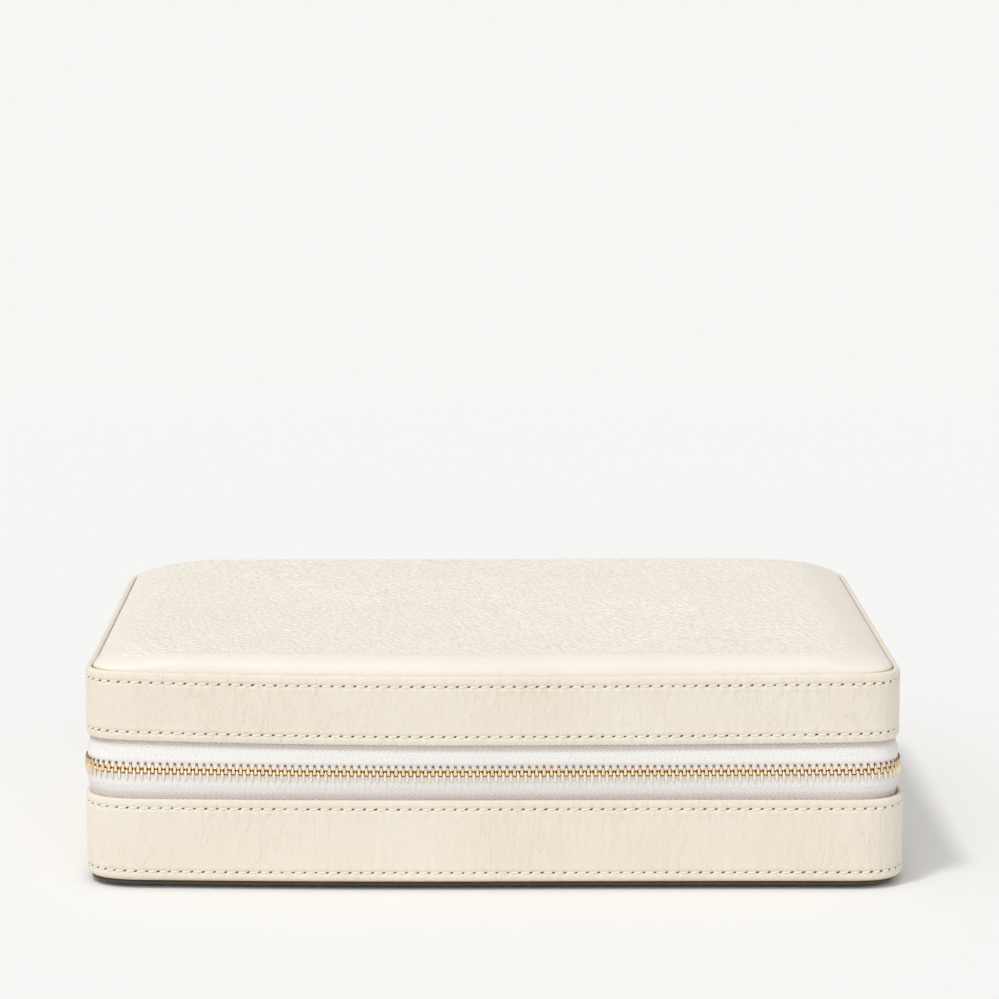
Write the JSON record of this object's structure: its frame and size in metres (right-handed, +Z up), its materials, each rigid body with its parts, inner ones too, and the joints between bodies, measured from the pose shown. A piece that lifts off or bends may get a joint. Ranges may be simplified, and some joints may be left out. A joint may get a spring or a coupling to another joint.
{
  "type": "jewelry box",
  "caption": "Zip-around leather jewellery case: padded lid on a leather spine, lined base with ring rolls and dividers, lid pocket and necklace straps.",
  "frame": {"origin": "centre of the underside, on the surface that the case stands on", "axes": "+X along the width, to the right of someone facing the front; the front faces -Y and the spine is at +Y; +Z up"},
  "size_m": [0.2453, 0.1765, 0.068],
  "materials": {
    "cream_leather": "smooth cream leather with faint creases, tonal stitching",
    "pebbled_leather": "pebbled cream leather over foam",
    "suede_lining": "short-napped suede lining",
    "zip_tape": "herringbone woven tape",
    "gold_metal": "pale gold plate, polished",
    "grey_board": "pressed grey board",
    "foam": "open-cell foam"
  },
  "bodies": {
    "base": {"base_leather_band": "cream_leather", "base_wall_board": "grey_board", "base_floor_board": "grey_board", "base_bottom_panel": "pebbled_leather", "base_inner_wall": "suede_lining", "base_floor_lining": "suede_lining", "base_zip_tape": "zip_tape", "base_zip_teeth": "gold_metal", "base_zip_stops": "gold_metal", "spine_leather": "cream_leather", "spine_lining": "suede_lining", "ring_bay_divider": "suede_lining", "ring_front_divider": "suede_lining", "cross_divider": "suede_lining", "front_divider": "suede_lining", "rear_divider": "suede_lining", "ring_roll_1": "suede_lining", "ring_roll_2": "suede_lining", "ring_roll_3": "suede_lining", "ring_roll_4": "suede_lining", "ring_roll_5": "suede_lining", "ring_roll_6": "suede_lining"},
    "lid": {"lid_leather_band": "cream_leather", "lid_wall_board": "grey_board", "lid_top_board": "grey_board", "lid_top_foam": "foam", "lid_top_leather": "pebbled_leather", "lid_inner_wall": "suede_lining", "lid_ceiling_lining": "suede_lining", "lid_zip_tape": "zip_tape", "lid_zip_teeth": "gold_metal", "lid_zip_stops": "gold_metal", "lid_pocket": "suede_lining", "pocket_elastic": "suede_lining", "strap_tails": "suede_lining", "snap_studs": "gold_metal"},
    "slider": {"zip_slider": "gold_metal", "slider_bail": "gold_metal"},
    "pull": {"zip_pull": "gold_metal"},
    "strap_1": {"necklace_strap_1": "suede_lining", "snap_cap_1": "gold_metal"},
    "strap_2": {"necklace_strap_2": "suede_lining", "snap_cap_2": "gold_metal"},
    "strap_3": {"necklace_strap_3": "suede_lining", "snap_cap_3": "gold_metal"},
    "strap_4": {"necklace_strap_4": "suede_lining", "snap_cap_4": "gold_metal"}
  },
  "joints": [
    {"name": "lid_hinge", "type": "hinge", "parent": "base", "child": "lid", "pos_m": [0, 0.0883, 0.03425], "axis": [-1, 0, 0], "range_deg": [0, 180], "deforming": ["spine_leather", "spine_lining"]},
    {"name": "zip_slide", "type": "slide", "parent": "base", "child": "slider", "axis": [0, -1, 0], "range_m": [0, 0.12], "deforming": ["base_zip_teeth", "lid_zip_teeth"]},
    {"name": "pull_hinge", "type": "hinge", "parent": "slider", "child": "pull", "pos_m": [0.1227, 0.056, 0.03425], "axis": [0, 0, 1], "range_deg": [0, 180]},
    {"name": "strap_1_hinge", "type": "hinge", "parent": "lid", "child": "strap_1", "pos_m": [-0.072, 0.06615, 0.0556], "axis": [1, 0, 0], "range_deg": [0, 80]},
    {"name": "strap_2_hinge", "type": "hinge", "parent": "lid", "child": "strap_2", "pos_m": [-0.024, 0.06615, 0.0556], "axis": [1, 0, 0], "range_deg": [0, 80]},
    {"name": "strap_3_hinge", "type": "hinge", "parent": "lid", "child": "strap_3", "pos_m": [0.024, 0.06615, 0.0556], "axis": [1, 0, 0], "range_deg": [0, 80]},
    {"name": "strap_4_hinge", "type": "hinge", "parent": "lid", "child": "strap_4", "pos_m": [0.072, 0.06615, 0.0556], "axis": [1, 0, 0], "range_deg": [0, 80]}
  ]
}
